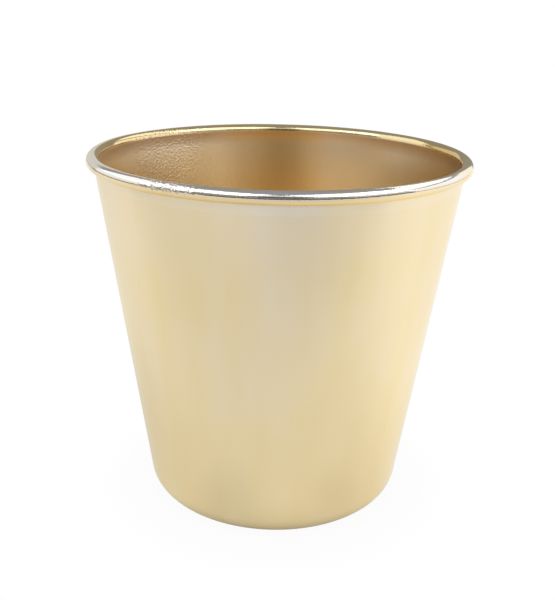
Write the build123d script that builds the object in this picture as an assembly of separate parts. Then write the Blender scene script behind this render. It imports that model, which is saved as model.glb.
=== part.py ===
"""Sheet-metal cachepot with a wired rim, in millimetres.

The pot is one drawn aluminium shell: a base with a raised panel, a round corner and a tapered wall,
whose top edge is curled outwards over a ring of wire. +Z is up, and the origin is on the pot's
axis, in the plane that it stands on.
"""

from build123d import *
from math import acos, asin, atan2, degrees, hypot, radians, sin, sqrt, tan
import os

# Overall sizes
rim_outer_diameter = 140.0  # over the bead of the rim
overall_height = 133.0  # from the surface it stands on to the top of the bead
base_diameter = 96.6  # where the line of the wall would meet the plane it stands on

# The sheet and its bends
sheet = 1.5
base_corner_radius = 9.0  # outside of the corner between base and wall
standing_ring_width = 10.8  # flat ring of the base that the pot stands on
panel_rise = 1.5  # how far the middle of the base stands above that ring
panel_bend_radius = 3.0  # middle of the sheet, at both bends of the step between them
throat_radius = 30.0  # gentle inward bend of the wall below the bead, on the inside of the pot

# The wired rim
wire_diameter = 1.5
wire_clearance = 0.1  # all round, between the wire and the sheet that is curled over it
wire_end_gap = 1.0  # the ring is bent from straight wire, and its two ends don't quite meet
wire_offset = 0.25  # from the outer face of the wall out to the wire's centre
lip_gap = 0.2  # from the tucked edge of the sheet to the line of the wall's outer face

# The bead, with its centre where the ring of wire lies
wire_radius = wire_diameter / 2
curl_inside_radius = wire_radius + wire_clearance
bead_radius = curl_inside_radius + sheet
wire_ring_radius = rim_outer_diameter / 2 - bead_radius
wire_height = overall_height - bead_radius

# The wall's outer face runs straight from the edge of the base, and passes inside the wire's centre
wire_overhang = wire_ring_radius - base_diameter / 2
base_to_wire = hypot(wire_overhang, wire_height)
wall_length = sqrt(base_to_wire**2 - wire_offset**2)
taper = degrees(atan2(wire_overhang, wire_height) - asin(wire_offset / base_to_wire))
corner_turn = 90 - taper
corner_tangent = base_corner_radius * tan(radians(corner_turn) / 2)

# The step in the base is two equal bends, one after the other
step_turn = degrees(acos(1 - panel_rise / (2 * panel_bend_radius)))
step_run = 2 * panel_bend_radius * sin(radians(step_turn))
ring_outer_radius = base_diameter / 2 - corner_tangent
panel_radius = ring_outer_radius - standing_ring_width - step_run

# The throat's bend touches the wall and the curl, all taken at the middle of the sheet
middle = sheet / 2
throat_bend_radius = throat_radius + middle
curl_radius = curl_inside_radius + middle
throat_to_wire_across = throat_bend_radius + middle + wire_offset
throat_to_wire_along = sqrt((throat_bend_radius + curl_radius) ** 2 - throat_to_wire_across**2)
throat_turn = degrees(atan2(throat_to_wire_along, throat_to_wire_across))
lip_turn = degrees(acos((lip_gap - wire_offset) / curl_inside_radius))
curl_turn = 180 + throat_turn + lip_turn


def sheet_section(start, steps):
    """Face of a sheet whose middle line is a chain of flats and bends, in the XZ plane.

    The chain sets off along +X. A flat is ("flat", length) and a bend is ("bend", radius, turn),
    with a turn to the left counted as positive.
    """

    def one_side(offset):
        """Edges of the side that lies this far to the left of the middle line."""
        point = Vector(*start) + Vector(0, offset)
        heading = Vector(1, 0)
        edges = []
        for kind, size, *turns in steps:
            if kind == "flat":
                edge = Line(point, point + heading * size)
            else:
                turn = turns[0]
                inner_or_outer = offset if turn > 0 else -offset
                edge = JernArc(point, heading, size - inner_or_outer, turn)
            point = edge @ 1
            heading = edge % 1
            edges.append(edge)
        return edges

    inside = one_side(middle)
    outside = one_side(-middle)
    on_axis = Line(inside[0] @ 0, outside[0] @ 0)
    raw_edge = Line(inside[-1] @ 1, outside[-1] @ 1)
    return Plane.XZ * make_face(Wire([on_axis, *inside, raw_edge, *outside]))


def pot_shell():
    """Base, wall and curled rim, drawn from one sheet."""
    steps = [
        ("flat", panel_radius),
        ("bend", panel_bend_radius, -step_turn),
        ("bend", panel_bend_radius, step_turn),
        ("flat", standing_ring_width),
        ("bend", base_corner_radius - middle, corner_turn),
        ("flat", wall_length - corner_tangent - throat_to_wire_along),
        ("bend", throat_bend_radius, throat_turn),
        ("bend", curl_radius, -curl_turn),
    ]
    return revolve(sheet_section((0, panel_rise + middle), steps), Axis.Z)


def rim_wire():
    """Ring of round wire that the rim is curled over, with its ends at the back of the pot."""
    section = Plane.XZ * Pos(wire_ring_radius, wire_height) * Circle(wire_radius)
    gap_angle = degrees(wire_end_gap / wire_ring_radius)
    ring = revolve(section, Axis.Z, 360 - gap_angle)
    return Rot(0, 0, 90 + gap_angle / 2) * ring


os.makedirs("parts", exist_ok=True)
for piece in (pot_shell, rim_wire):
    export_step(piece(), f"parts/{piece.__name__}.step")
print(f"taper {taper:.2f} degrees, bead {2 * bead_radius:.2f} mm, curl {curl_turn:.1f} degrees")
print(f"panel radius {panel_radius:.2f} mm, standing ring out to {ring_outer_radius:.2f} mm")
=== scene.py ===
from math import acos, asin, atan2, cos, degrees, hypot, pi, radians, sin, sqrt, tan

import bpy
import numpy as np
from mathutils import Matrix, Vector


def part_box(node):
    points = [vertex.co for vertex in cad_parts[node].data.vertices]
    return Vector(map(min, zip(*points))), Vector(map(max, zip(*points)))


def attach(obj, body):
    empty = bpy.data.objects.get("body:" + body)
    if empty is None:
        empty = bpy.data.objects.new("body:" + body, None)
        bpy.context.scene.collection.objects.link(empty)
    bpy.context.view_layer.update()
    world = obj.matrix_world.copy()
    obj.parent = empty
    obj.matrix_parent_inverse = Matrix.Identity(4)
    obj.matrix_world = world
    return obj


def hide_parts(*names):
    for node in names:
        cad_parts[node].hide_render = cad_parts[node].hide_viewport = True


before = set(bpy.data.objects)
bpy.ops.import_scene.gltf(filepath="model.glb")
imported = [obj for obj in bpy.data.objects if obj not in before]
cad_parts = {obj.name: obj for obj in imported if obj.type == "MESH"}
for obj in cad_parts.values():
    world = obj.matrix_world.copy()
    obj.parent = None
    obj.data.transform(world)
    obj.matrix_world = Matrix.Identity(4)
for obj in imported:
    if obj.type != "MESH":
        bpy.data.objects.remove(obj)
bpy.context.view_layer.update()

# The pot's shell is one sheet of bright aluminium, deep drawn to a tapered cup, with a raised panel in
# its base. Its top edge is curled outwards over a ring of wire, and the tucked edge meets the wall in
# a tight crease. A gold-tinted lacquer, sprayed over all of it, gives the metal its colour.

shell_top_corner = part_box("pot_shell")[1]
rim_radius = shell_top_corner.x
pot_height = shell_top_corner.z
base_radius = 0.0483
sheet = 0.0015
base_corner = 0.009
standing_ring = 0.0108
panel_rise = 0.0015
panel_bend = 0.003
throat_cove = 0.030
bead_radius = 0.00235
wire_offset = 0.00025
lip_gap = 0.0002
steps_round = 240
dent_depth = 0.0001
dent_seed = 3.0

# Where the flats and bends of the sheet meet, measured at the middle of its thickness
half_sheet = sheet / 2
wire_ring = rim_radius - bead_radius
wire_height = pot_height - bead_radius
base_to_wire = hypot(wire_ring - base_radius, wire_height)
wall_length = sqrt(base_to_wire**2 - wire_offset**2)
taper = atan2(wire_ring - base_radius, wire_height) - asin(wire_offset / base_to_wire)
corner_turn = pi / 2 - taper
corner_tangent = base_corner * tan(corner_turn / 2)
step_turn = acos(1 - panel_rise / (2 * panel_bend))
panel_radius = base_radius - corner_tangent - standing_ring - 2 * panel_bend * sin(step_turn)
cove_radius = throat_cove + half_sheet
curl_radius = bead_radius - half_sheet
cove_across = cove_radius + half_sheet + wire_offset
cove_along = sqrt((cove_radius + curl_radius) ** 2 - cove_across**2)
cove_turn = atan2(cove_along, cove_across)
lip_turn = acos((lip_gap - wire_offset) / (bead_radius - sheet))
curl_turn = pi + cove_turn + lip_turn

# From the axis to the tucked edge: each stretch's length, or radius where it turns, its turn, its parts
straight = 0.0
sheet_run = [
    ("panel", panel_radius, straight, 8),
    ("step", panel_bend, -step_turn, 8),
    ("step", panel_bend, step_turn, 8),
    ("ring", standing_ring, straight, 6),
    ("corner", base_corner - half_sheet, corner_turn, 20),
    ("wall", wall_length - corner_tangent - cove_along, straight, 48),
    ("cove", cove_radius, cove_turn, 10),
    ("curl", curl_radius, -curl_turn, 60),
]

# Coats of lacquer by place. Lacquer runs into the crease and corners and is rubbed thin on the bead's crown,
# but the thick crease and corners are also painted shade, and the bare crown is also a painted highlight that
# turns it silver.
# Round the bead they go by degrees, from straight out, over the top, to the inside of the pot.
film_and_painted_light_round_bead = {
    -95: 2.2,
    -38: 1.8,
    -17: 0.95,
    -2: 0.55,
    13: 0.5,
    24: 0.1,
    34: 0.0,
    49: 0.15,
    67: 0.4,
    97: 1.1,
    120: 1.15,
    240: 1.24,
}
film_inside = {"panel": 1.1, "step": 1.15, "ring": 1.15, "corner": 1.25, "cove": 0.88}
film_under = {"panel": 0.9, "step": 0.9, "ring": 0.55, "corner": 1.08, "cove": 0.62, "curl": 1.0}
film_wall_inside = (1.25, 1.0)  # at the foot and at the top
film_wall_outside = (1.12, 0.74)


def film_at(stretch, along, is_inside):
    """Coats of lacquer on one face of the sheet, this far along one stretch of it."""
    if stretch == "curl" and is_inside:
        round_bead = 180 + degrees(cove_turn - taper - along * curl_turn)
        return np.interp(round_bead, list(film_and_painted_light_round_bead), list(film_and_painted_light_round_bead.values()))
    if stretch == "wall":
        foot, top = film_wall_inside if is_inside else film_wall_outside
        return foot + (top - foot) * along
    return (film_inside if is_inside else film_under)[stretch]


def sheet_face(is_inside):
    """Points of one face of the sheet as (radius, height, film, bead, inside), from the axis to the lip."""
    offset = half_sheet if is_inside else -half_sheet
    point = Vector((0, panel_rise + half_sheet + offset))
    heading = 0.0
    points = [(*point, film_at("panel", 0, is_inside), 0.0, float(is_inside))]
    for stretch, size, turn, parts in sheet_run:
        side = 1 if turn > 0 else -1
        length = size if turn == straight else (size - side * offset) * abs(turn)
        half_turn = turn / parts / 2
        chord = length / parts
        if turn != straight:
            chord *= sin(abs(half_turn)) / abs(half_turn)
        is_bead = stretch == "curl"
        for part in range(1, parts + 1):
            heading += half_turn
            point = point + chord * Vector((cos(heading), sin(heading)))
            heading += half_turn
            film = film_at(stretch, part / parts, is_inside)
            points.append((*point, film, float(is_bead), float(is_inside and not is_bead)))
    return points


section_points = sheet_face(True) + sheet_face(False)[::-1]
section_mesh = bpy.data.meshes.new("pot_shell_section")
section_mesh.from_pydata(
    [(radius, 0, height) for radius, height, *_ in section_points],
    [(i, i + 1) for i in range(len(section_points) - 1)],
    [],
)
for name, column in (("film", 2), ("bead", 3), ("inside", 4)):
    values = section_mesh.attributes.new(name, "FLOAT", "POINT")
    values.data.foreach_set("value", [point[column] for point in section_points])
pot_shell = bpy.data.objects.new("pot_shell_lacquered", section_mesh)
bpy.context.scene.collection.objects.link(pot_shell)


def add_node(tree, kind, inputs=None, **settings):
    """Adds a node, sets its options, and sets or links its inputs by name or number."""
    node = tree.nodes.new(kind)
    for name, value in settings.items():
        setattr(node, name, value)
    for key, value in (inputs or {}).items():
        if isinstance(value, bpy.types.NodeSocket):
            tree.links.new(value, node.inputs[key])
        else:
            node.inputs[key].default_value = value
    return node


def calculate(tree, operation, *values):
    """The result of one sum, for shader and geometry trees alike."""
    return add_node(tree, "ShaderNodeMath", dict(enumerate(values)), operation=operation).outputs[0]


def fade(tree, value, low, high, at_low, at_high):
    """Goes smoothly from one amount to another while a value runs from low to high."""
    node = add_node(
        tree,
        "ShaderNodeMapRange",
        {"Value": value, "From Min": low, "From Max": high, "To Min": at_low, "To Max": at_high},
        interpolation_type="SMOOTHSTEP",
    )
    return node.outputs["Result"]


def centred(tree, value, spread):
    """Spreads a value that runs from 0 to 1 evenly about zero."""
    return calculate(tree, "MULTIPLY_ADD", value, spread, -spread / 2)


def noise(tree, place, scale, detail):
    """Cloudy noise from 0 to 1."""
    node = add_node(tree, "ShaderNodeTexNoise", {"Vector": place, "Scale": scale, "Detail": detail})
    return node.outputs["Fac"]


def stretched(tree, place, factors):
    """Each place with its X, Y and Z multiplied by these factors."""
    node = add_node(tree, "ShaderNodeVectorMath", {0: place, 1: factors}, operation="MULTIPLY")
    return node.outputs["Vector"]


def distance_from(tree, place, point):
    """How far each place lies from one point."""
    node = add_node(tree, "ShaderNodeVectorMath", {0: place, 1: point}, operation="DISTANCE")
    return node.outputs["Value"]


def mixed_colour(tree, share, first, second, **settings):
    """Two colours mixed by a share."""
    node = add_node(
        tree, "ShaderNodeMix", {"Factor": share, 6: first, 7: second}, data_type="RGBA", **settings
    )
    return node.outputs[2]


def new_material(name):
    """A material with nodes, and its tree."""
    material = bpy.data.materials.new(name)
    material.use_nodes = True
    return material, material.node_tree


def lacquer_and_painted_light(tree, place, bead, inside):
    """Lacquer at each place, with painted light in it: the section's own, what the spray and the wear left
    uneven, and painted highlight, reflection and light.
    """
    spot = add_node(tree, "ShaderNodeSeparateXYZ", {0: place}).outputs
    sideways = calculate(tree, "ABSOLUTE", spot["X"])

    # Soft clouds, and streaks that run down the wall
    cloud = noise(tree, place, 20.0, 3.0)
    streak = noise(tree, stretched(tree, place, (1, 1, 0.06)), 90.0, 2.0)
    spray_and_painted_light = calculate(tree, "ADD", centred(tree, cloud, 0.6), centred(tree, streak, 0.44))

    # Inside, more lacquer in a band down the middle, a painted reflection that darkens it, and less under the
    # rim and at the left and right; under the rim and at the left this is painted light that makes them paler
    painted_light_inside = 0.0
    for across, low, high, at_low, at_high in (
        (sideways, 0.004, 0.026, 0.9, 0.0),
        (spot["Z"], 0.108, 0.129, 0.1, -0.15),
        (spot["X"], -0.064, -0.03, -0.52, 0.0),
        (spot["X"], 0.044, 0.064, 0.0, -0.35),
    ):
        painted_light_inside = calculate(tree, "ADD", painted_light_inside, fade(tree, across, low, high, at_low, at_high))
    spray_and_painted_light = calculate(tree, "MULTIPLY_ADD", painted_light_inside, inside, spray_and_painted_light)

    # More lacquer on the bead at its left and right ends: a painted reflection that deepens the gold there
    for low, high, at_low, at_high in ((-0.069, -0.052, 0.2, 0.0), (0.052, 0.069, 0.0, 0.5)):
        painted_reflection_at_ends = fade(tree, spot["X"], low, high, at_low, at_high)
        spray_and_painted_light = calculate(tree, "MULTIPLY_ADD", painted_reflection_at_ends, bead, spray_and_painted_light)

    # Outside, less lacquer down the middle of the wall, most of all high up: a painted reflection that makes
    # the front paler and greyer
    painted_reflection_front = fade(tree, sideways, 0.002, 0.026, -0.16, 0.05)
    high_up = fade(tree, spot["Z"], 0.02, 0.1, 0.1, 1.0)
    not_outside = calculate(tree, "MAXIMUM", bead, inside)
    high_up = calculate(tree, "MAXIMUM", calculate(tree, "SUBTRACT", high_up, not_outside), 0.0)
    spray_and_painted_light = calculate(tree, "MULTIPLY_ADD", painted_reflection_front, high_up, spray_and_painted_light)

    # Pinholes, each filled with a drop
    holes = add_node(tree, "ShaderNodeTexVoronoi", {"Vector": place, "Scale": 60.0}).outputs["Distance"]
    spray_and_painted_light = calculate(tree, "ADD", spray_and_painted_light, fade(tree, holes, 0.02, 0.04, 0.7, 0.0))

    # Lacquer taken off the top of the bead on its front half, from the left end round to the right, and less
    # at the very front: partly wear, partly a painted highlight that turns the crown silver
    above_wire = calculate(tree, "SUBTRACT", spot["Z"], wire_height)
    wear_and_painted_highlight = 0.8
    for across, low, high, at_low, at_high in (
        (above_wire, 0.0005, 0.0016, 0.0, 1.0),
        (spot["Y"], -0.02, 0.014, 1.0, 0.0),
        (spot["Y"], -0.068, -0.03, 0.25, 1.0),
        (spot["X"], 0.04, 0.066, 1.0, 0.3),
    ):
        wear_and_painted_highlight = calculate(tree, "MULTIPLY", wear_and_painted_highlight, fade(tree, across, low, high, at_low, at_high))
    coats_and_painted_light = add_node(tree, "ShaderNodeAttribute", attribute_name="film").outputs["Fac"]
    kept_after_wear_and_highlight = calculate(tree, "SUBTRACT", 1.0, wear_and_painted_highlight)
    return calculate(tree, "MULTIPLY_ADD", coats_and_painted_light, kept_after_wear_and_highlight, spray_and_painted_light)


bare_metal = (0.95, 0.94, 0.94, 1)
gold_by_coats = {0.6: (0.95, 0.82, 0.6, 1), 1.0: (0.94, 0.775, 0.46, 1), 2.0: (0.88, 0.65, 0.27, 1)}
most_coats = 2.0
brown_cast_in_middle = (0.98, 0.9, 0.905, 1)
brown_cast_at_ends = (0.98, 0.945, 0.86, 1)
darkest_painted_shade_right = 0.7


def lacquer_colour(tree, place, coats_and_painted_light, inside):
    """Metal seen through the lacquer, browner inside the pot, and there with painted shade that darkens it
    towards the right.
    """
    depth = calculate(tree, "MULTIPLY", coats_and_painted_light, 1 / most_coats)
    tint = add_node(tree, "ShaderNodeValToRGB", {"Fac": depth})
    stops = tint.color_ramp.elements
    stops.remove(stops[1])
    stops[0].color = bare_metal
    for coat, gold in gold_by_coats.items():
        stops.new(coat / most_coats).color = gold
    rightwards = add_node(tree, "ShaderNodeSeparateXYZ", {0: place}).outputs["X"]
    sideways = calculate(tree, "ABSOLUTE", rightwards)
    at_ends = fade(tree, sideways, 0.035, 0.062, 0.0, 1.0)
    cast = mixed_colour(tree, at_ends, brown_cast_in_middle, brown_cast_at_ends)
    # Painted shade: the inside darkens towards the right
    painted_shade_right = fade(tree, rightwards, 0.01, 0.06, 1.0, darkest_painted_shade_right)
    cast = add_node(tree, "ShaderNodeVectorMath", {0: cast, 3: painted_shade_right}, operation="SCALE").outputs["Vector"]
    return mixed_colour(tree, inside, tint.outputs["Color"], cast, blend_type="MULTIPLY")


def lacquer_relief(tree, place, bead, inside):
    """The shallow waves of the drawn sheet, and the peel of the spray, which is coarse where it was dry."""
    rough_side = calculate(tree, "MAXIMUM", bead, inside)
    peel_depth = calculate(tree, "MULTIPLY_ADD", rough_side, 0.06, 0.015)
    dry_on_bead = ((-0.033, -0.059, 0.132), 0.014, 0.94)
    dry_inside = ((-0.044, 0.042, 0.126), 0.026, 0.25)
    for middle, spread, strength in (dry_on_bead, dry_inside):
        dry = fade(tree, distance_from(tree, place, middle), spread / 3, spread, strength, 0.0)
        peel_depth = calculate(tree, "MULTIPLY_ADD", dry, rough_side, peel_depth)
    wave = noise(tree, stretched(tree, place, (1, 1, 0.4)), 22.0, 1.0)
    drawn = add_node(tree, "ShaderNodeBump", {"Height": wave, "Strength": 1.0, "Distance": 0.0012})
    peel = noise(tree, place, 1200.0, 1.0)
    bump = add_node(
        tree,
        "ShaderNodeBump",
        {"Height": peel, "Strength": peel_depth, "Distance": 0.0004, "Normal": drawn.outputs["Normal"]},
    )
    return bump.outputs["Normal"]


def lacquered_metal():
    """Bright metal under gold-tinted lacquer: satin outside, duller inside and glossy on the bead."""
    material, tree = new_material("gold_lacquer_on_bright_aluminium")
    shader = tree.nodes["Principled BSDF"]
    place = add_node(tree, "ShaderNodeTexCoord").outputs["Object"]
    inside = add_node(tree, "ShaderNodeAttribute", attribute_name="inside").outputs["Fac"]
    bead = add_node(tree, "ShaderNodeAttribute", attribute_name="bead").outputs["Fac"]
    coats_and_painted_light = lacquer_and_painted_light(tree, place, bead, inside)
    tree.links.new(lacquer_colour(tree, place, coats_and_painted_light, inside), shader.inputs["Base Color"])
    tree.links.new(lacquer_relief(tree, place, bead, inside), shader.inputs["Normal"])
    smears = noise(tree, place, 60.0, 5.0)
    roughness = calculate(tree, "MULTIPLY_ADD", smears, 0.06, 0.15)
    for part, rougher in ((inside, 0.14), (bead, -0.1)):
        roughness = calculate(tree, "MULTIPLY_ADD", part, rougher, roughness)
    tree.links.new(roughness, shader.inputs["Roughness"])
    shader.inputs["Metallic"].default_value = 1.0
    shader.inputs["Specular Tint"].default_value = (1.0, 0.98, 0.92, 1)
    return material


def spin_tree():
    """Geometry nodes that spin a section about the Z axis, and dent the bead a little."""
    tree = bpy.data.node_groups.new("spin_section", "GeometryNodeTree")
    for name, kind in (
        ("Section", "NodeSocketGeometry"),
        ("Steps Round", "NodeSocketInt"),
        ("Dent Depth", "NodeSocketFloat"),
        ("Dent Seed", "NodeSocketFloat"),
        ("Finish", "NodeSocketMaterial"),
    ):
        tree.interface.new_socket(name, in_out="INPUT", socket_type=kind)
    tree.interface.new_socket("Mesh", in_out="OUTPUT", socket_type="NodeSocketGeometry")
    given = add_node(tree, "NodeGroupInput").outputs

    # A grid with a column of the section's points for each step round
    size = add_node(tree, "GeometryNodeAttributeDomainSize", {"Geometry": given["Section"]})
    count = size.outputs["Point Count"]
    columns = calculate(tree, "ADD", given["Steps Round"], 1)
    grid = add_node(tree, "GeometryNodeMeshGrid", {"Vertices X": columns, "Vertices Y": count})
    index = add_node(tree, "GeometryNodeInputIndex").outputs[0]
    place = calculate(tree, "MODULO", index, count)
    column = calculate(tree, "FLOOR", calculate(tree, "DIVIDE", index, count))
    angle = calculate(tree, "DIVIDE", calculate(tree, "MULTIPLY", column, 2 * pi), given["Steps Round"])

    def from_section(kind, value):
        """A value of the section's point that each point of the grid stands for."""
        picked = add_node(
            tree,
            "GeometryNodeSampleIndex",
            {"Geometry": given["Section"], "Index": place},
            data_type=kind,
        )
        tree.links.new(value, picked.inputs["Value"])
        return picked.outputs["Value"]

    # The grid bent to the spun shape, with the section's own values on it, and closed at axis and seam
    spot = from_section("FLOAT_VECTOR", add_node(tree, "GeometryNodeInputPosition").outputs[0])
    turned = add_node(
        tree, "ShaderNodeVectorRotate", {"Vector": spot, "Angle": angle}, rotation_type="Z_AXIS"
    )
    mesh = add_node(
        tree, "GeometryNodeSetPosition", {"Geometry": grid.outputs["Mesh"], "Position": turned.outputs[0]}
    )
    for name in ("film", "bead", "inside"):
        own = add_node(tree, "GeometryNodeInputNamedAttribute", {"Name": name}, data_type="FLOAT")
        mesh = add_node(
            tree,
            "GeometryNodeStoreNamedAttribute",
            {"Geometry": mesh.outputs[0], "Name": name, "Value": from_section("FLOAT", own.outputs[0])},
            data_type="FLOAT",
            domain="POINT",
        )
    mesh = add_node(tree, "GeometryNodeMergeByDistance", {"Geometry": mesh.outputs[0], "Distance": 1e-6})
    mesh = add_node(tree, "GeometryNodeFlipFaces", {"Mesh": mesh.outputs[0]})

    # Shallow dents, on the bead alone
    bead = add_node(tree, "GeometryNodeInputNamedAttribute", {"Name": "bead"}, data_type="FLOAT").outputs[0]
    ripple = add_node(
        tree,
        "ShaderNodeTexNoise",
        {"W": given["Dent Seed"], "Scale": 70.0, "Detail": 2.0},
        noise_dimensions="4D",
    )
    dent = calculate(tree, "MULTIPLY", ripple.outputs[0], given["Dent Depth"])
    dent = calculate(tree, "MULTIPLY", dent, bead)
    outwards = add_node(tree, "GeometryNodeInputNormal").outputs[0]
    inwards = add_node(
        tree,
        "ShaderNodeVectorMath",
        {0: outwards, 3: calculate(tree, "MULTIPLY", dent, -1)},
        operation="SCALE",
    )
    mesh = add_node(
        tree, "GeometryNodeSetPosition", {"Geometry": mesh.outputs[0], "Offset": inwards.outputs[0]}
    )
    mesh = add_node(tree, "GeometryNodeSetShadeSmooth", {"Geometry": mesh.outputs[0]})
    mesh = add_node(tree, "GeometryNodeRealizeInstances", {"Geometry": mesh.outputs[0]})
    mesh = add_node(
        tree, "GeometryNodeSetMaterial", {"Geometry": mesh.outputs[0], "Material": given["Finish"]}
    )
    add_node(tree, "NodeGroupOutput", {0: mesh.outputs[0]})
    return tree


def bake_modifier(piece, tree, settings):
    """Runs a geometry tree on a piece with these settings, and keeps the result as its plain mesh."""
    modifier = piece.modifiers.new(tree.name, "NODES")
    modifier.node_group = tree
    for item in tree.interface.items_tree:
        if item.in_out == "INPUT" and item.name in settings:
            modifier[item.identifier] = settings[item.name]
    bpy.context.view_layer.update()
    seen = piece.evaluated_get(bpy.context.evaluated_depsgraph_get())
    mesh = bpy.data.meshes.new_from_object(seen)
    piece.modifiers.remove(modifier)
    piece.data = mesh


bake_modifier(
    pot_shell,
    spin_tree(),
    {
        "Steps Round": steps_round,
        "Dent Depth": dent_depth,
        "Dent Seed": dent_seed,
        "Finish": lacquered_metal(),
    },
)
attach(pot_shell, "root")
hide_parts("pot_shell")

# The rim's wire is a ring of galvanised steel, drawn round and bent from a straight length, and held
# only by the sheet that is curled over it. It can't be seen on the finished pot.

# Two tones of zinc, mixed in a random mottle
darker_zinc = (0.36, 0.35, 0.34, 1)
paler_zinc = (0.6, 0.6, 0.6, 1)


def drawn_wire():
    """Galvanised wire, dull, with a fine mottle."""
    material, tree = new_material("galvanised_wire")
    shader = tree.nodes["Principled BSDF"]
    place = add_node(tree, "ShaderNodeTexCoord").outputs["Object"]
    mottle = noise(tree, place, 700.0, 4.0)
    tint = add_node(tree, "ShaderNodeValToRGB", {"Fac": mottle})
    tint.color_ramp.elements[0].color = darker_zinc
    tint.color_ramp.elements[1].color = paler_zinc
    tree.links.new(tint.outputs["Color"], shader.inputs["Base Color"])
    roughness = calculate(tree, "MULTIPLY_ADD", mottle, 0.25, 0.3)
    tree.links.new(roughness, shader.inputs["Roughness"])
    shader.inputs["Metallic"].default_value = 1.0
    return material


rim_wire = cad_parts["rim_wire"]
rim_wire.data.materials.clear()
rim_wire.data.materials.append(drawn_wire())

# The stage is a sheet of white paper on a dark table, which takes the pot's soft shadow and runs off into
# white behind it. The paper ends in front, where the pot mirrors the table past its edge, and a dark
# card hangs over that edge for the front of the bead to mirror.

paper_grey = (0.55, 0.55, 0.55, 1)
paper_half_width = 1.0
paper_front = -0.55
paper_back = 3.0
table_grey = (0.16, 0.16, 0.16, 1)
table_half_width = 4.0
table_drop = 0.002
card_half_width = 0.13
card_front = -0.56
card_bottom = 0.2
card_top = 0.36


def matt_or_white(tree, grey, white_share):
    """Finishes a material as matt grey that gives way to plain white by this share."""
    matt = add_node(tree, "ShaderNodeBsdfDiffuse", {"Color": grey})
    white = add_node(tree, "ShaderNodeEmission", {"Color": (1, 1, 1, 1), "Strength": 1.0})
    mixed = add_node(tree, "ShaderNodeMixShader", {0: white_share, 1: matt.outputs[0], 2: white.outputs[0]})
    add_node(tree, "ShaderNodeOutputMaterial", {"Surface": mixed.outputs[0]})


def painted_light_in_mirror(tree, place):
    """How white the paper is in the pot's mirror image, all painted light and shade: painted shadow in front,
    at the left and by the foot, and painted light at the right and back.
    """
    spot = add_node(tree, "ShaderNodeSeparateXYZ", {0: place}).outputs
    to_right_and_back = calculate(tree, "ADD", spot["X"], spot["Y"])
    right_and_back = calculate(tree, "DIVIDE", to_right_and_back, distance_from(tree, place, (0, 0, 0)))
    towards_back = calculate(tree, "MULTIPLY_ADD", spot["X"], 0.27, spot["Y"])
    out_from_foot = distance_from(tree, stretched(tree, place, (1.3, 1, 1)), (0, 0, 0))
    in_front = distance_from(tree, place, (0.05, -0.3, 0))
    at_left = distance_from(tree, place, (-0.09, 0.02, 0))
    left_of_foot = distance_from(tree, place, (-0.026, -0.056, 0))
    right_of_foot = distance_from(tree, place, (0.036, -0.052, 0))
    painted_lighting = 1.0
    for value, low, high, at_low, at_high in (
        (towards_back, -0.19, -0.03, 0.54, 0.75),
        (right_and_back, -0.05, 1.2, 1.0, 1.36),
        (at_left, 0.0, 0.13, 0.87, 1.0),
        (in_front, 0.0, 0.2, 0.67, 1.0),
        (left_of_foot, 0.0, 0.032, 0.68, 1.0),
        (right_of_foot, 0.0, 0.026, 0.82, 1.0),
        (out_from_foot, 0.041, 0.2, 0.82, 1.0),
        (out_from_foot, 0.04, 0.066, 0.25, 1.0),
    ):
        painted_lighting = calculate(tree, "MULTIPLY", painted_lighting, fade(tree, value, low, high, at_low, at_high))
    return painted_lighting


def white_paper():
    """Matt paper, lifted to plain white away from the pot for the camera, and to painted light and shade in
    the pot's mirror image.
    """
    material, tree = new_material("white_paper")
    tree.nodes.clear()
    place = add_node(tree, "ShaderNodeTexCoord").outputs["Object"]
    ray = add_node(tree, "ShaderNodeLightPath").outputs
    away_from_pot = fade(tree, distance_from(tree, place, (0, 0, 0)), 0.041, 0.08, 0.95, 1.0)
    seen = calculate(tree, "MULTIPLY", ray["Is Camera Ray"], away_from_pot)
    mirrored = calculate(tree, "MULTIPLY", ray["Is Glossy Ray"], painted_light_in_mirror(tree, place))
    matt_or_white(tree, paper_grey, calculate(tree, "MAXIMUM", seen, mirrored))
    return material


def dark_table():
    """Dull dark grey, which the camera sees as the same plain white as the paper."""
    material, tree = new_material("dark_table")
    tree.nodes.clear()
    ray = add_node(tree, "ShaderNodeLightPath").outputs
    matt_or_white(tree, table_grey, ray["Is Camera Ray"])
    return material


def flat_sheet(name, corners, material):
    """One flat face with four corners."""
    mesh = bpy.data.meshes.new(name)
    mesh.from_pydata(corners, [], [(0, 1, 2, 3)])
    mesh.materials.append(material)
    piece = bpy.data.objects.new(name, mesh)
    bpy.context.scene.collection.objects.link(piece)
    return piece


paper = flat_sheet(
    "paper",
    [
        (-paper_half_width, paper_front, 0),
        (paper_half_width, paper_front, 0),
        (paper_half_width, paper_back, 0),
        (-paper_half_width, paper_back, 0),
    ],
    white_paper(),
)

table_finish = dark_table()
table = flat_sheet(
    "table",
    [
        (-table_half_width, -table_half_width, -table_drop),
        (table_half_width, -table_half_width, -table_drop),
        (table_half_width, table_half_width, -table_drop),
        (-table_half_width, table_half_width, -table_drop),
    ],
    table_finish,
)

card = flat_sheet(
    "dark_card",
    [
        (-card_half_width, card_front, card_bottom),
        (card_half_width, card_front, card_bottom),
        (card_half_width, card_front, card_top),
        (-card_half_width, card_front, card_top),
    ],
    table_finish,
)

# The light is a ring of softboxes round the pot, level with its rim and above it, in a dim room. The bead
# mirrors them as its highlights, and the camera sees plain white behind the pot.

room_grey = (0.3, 0.3, 0.305, 1)


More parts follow.
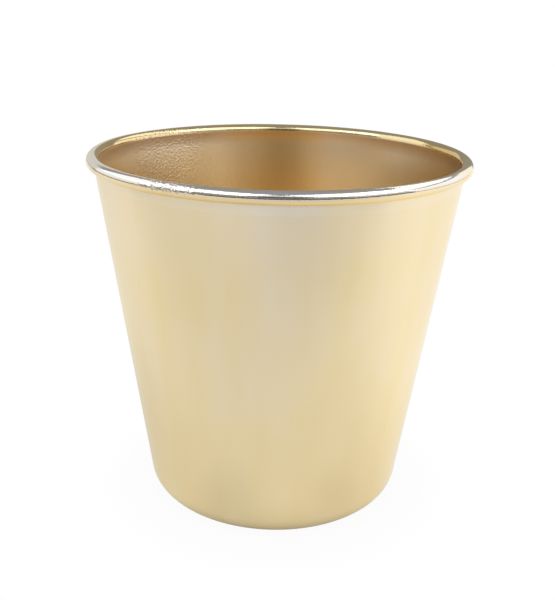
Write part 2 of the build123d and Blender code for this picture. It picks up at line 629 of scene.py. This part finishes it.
def softbox(name, turn, lift, distance, wide, high, radiance):
    """A rectangular light that faces the pot, placed and sized by the angles at which the pot sees it."""
    raised = Matrix.Rotation(-radians(lift), 3, "X") @ Vector((0, -1, 0))
    away = Matrix.Rotation(radians(turn), 3, "Z") @ raised
    lamp = bpy.data.lights.new(name, "AREA")
    lamp.shape = "RECTANGLE"
    lamp.size = 2 * distance * tan(radians(wide / 2))
    lamp.size_y = 2 * distance * tan(radians(high / 2))
    lamp.energy = radiance * pi * lamp.size * lamp.size_y
    light = bpy.data.objects.new(name, lamp)
    light.location = Vector((0, 0, pot_height / 2)) + distance * away
    light.rotation_euler = away.to_track_quat("Z", "Y").to_euler()
    bpy.context.scene.collection.objects.link(light)


softbox("left_back_softbox", turn=-150, lift=10, distance=1.0, wide=44, high=30, radiance=0.35)
softbox("left_softbox", turn=-99, lift=20, distance=0.42, wide=44, high=26, radiance=0.6)
softbox("left_high_softbox", turn=-95, lift=42, distance=0.8, wide=60, high=30, radiance=0.75)
softbox("left_front_softbox", turn=-48, lift=46, distance=1.0, wide=50, high=36, radiance=1.2)
softbox("right_front_softbox", turn=48, lift=46, distance=1.0, wide=50, high=36, radiance=1.2)
softbox("front_strip", turn=0, lift=40, distance=1.2, wide=50, high=6, radiance=0.9)
softbox("right_softbox", turn=60, lift=28, distance=0.8, wide=40, high=30, radiance=0.4)
softbox("right_back_softbox", turn=112, lift=18, distance=0.42, wide=70, high=30, radiance=0.7)
softbox("right_high_softbox", turn=112, lift=45, distance=0.8, wide=70, high=20, radiance=0.9)

world = bpy.data.worlds.new("room")
bpy.context.scene.world = world
world.use_nodes = True
world_tree = world.node_tree
world_tree.nodes.clear()
ray = add_node(world_tree, "ShaderNodeLightPath").outputs
room = add_node(world_tree, "ShaderNodeBackground", {"Color": room_grey, "Strength": 1.0})
white = add_node(world_tree, "ShaderNodeBackground", {"Color": (1, 1, 1, 1), "Strength": 1.0})
seen = add_node(
    world_tree, "ShaderNodeMixShader", {0: ray["Is Camera Ray"], 1: room.outputs[0], 2: white.outputs[0]}
)
add_node(world_tree, "ShaderNodeOutputWorld", {"Surface": seen.outputs[0]})

# The camera stands close to the pot, a little above its rim, and looks down at it. It leans slightly to
# one side.

picture_height = 600
focal_pixels = 875.4
camera_place = Vector((0, -0.3207, 0.1881))
pitch_down = radians(19.43)
lean = radians(1.28)
aim_right = radians(0.05)

camera_data = bpy.data.cameras.new("camera")
camera_data.sensor_width = 36.0
camera_data.lens = focal_pixels * camera_data.sensor_width / picture_height
camera_data.clip_start = 0.01
camera = bpy.data.objects.new("camera", camera_data)
turn = Matrix.Rotation(-aim_right, 4, "Z") @ Matrix.Rotation(pi / 2 - pitch_down, 4, "X")
camera.matrix_world = Matrix.Translation(camera_place) @ turn @ Matrix.Rotation(lean, 4, "Z")
bpy.context.scene.collection.objects.link(camera)
bpy.context.scene.camera = camera

bpy.context.scene.view_settings.view_transform = "Standard"
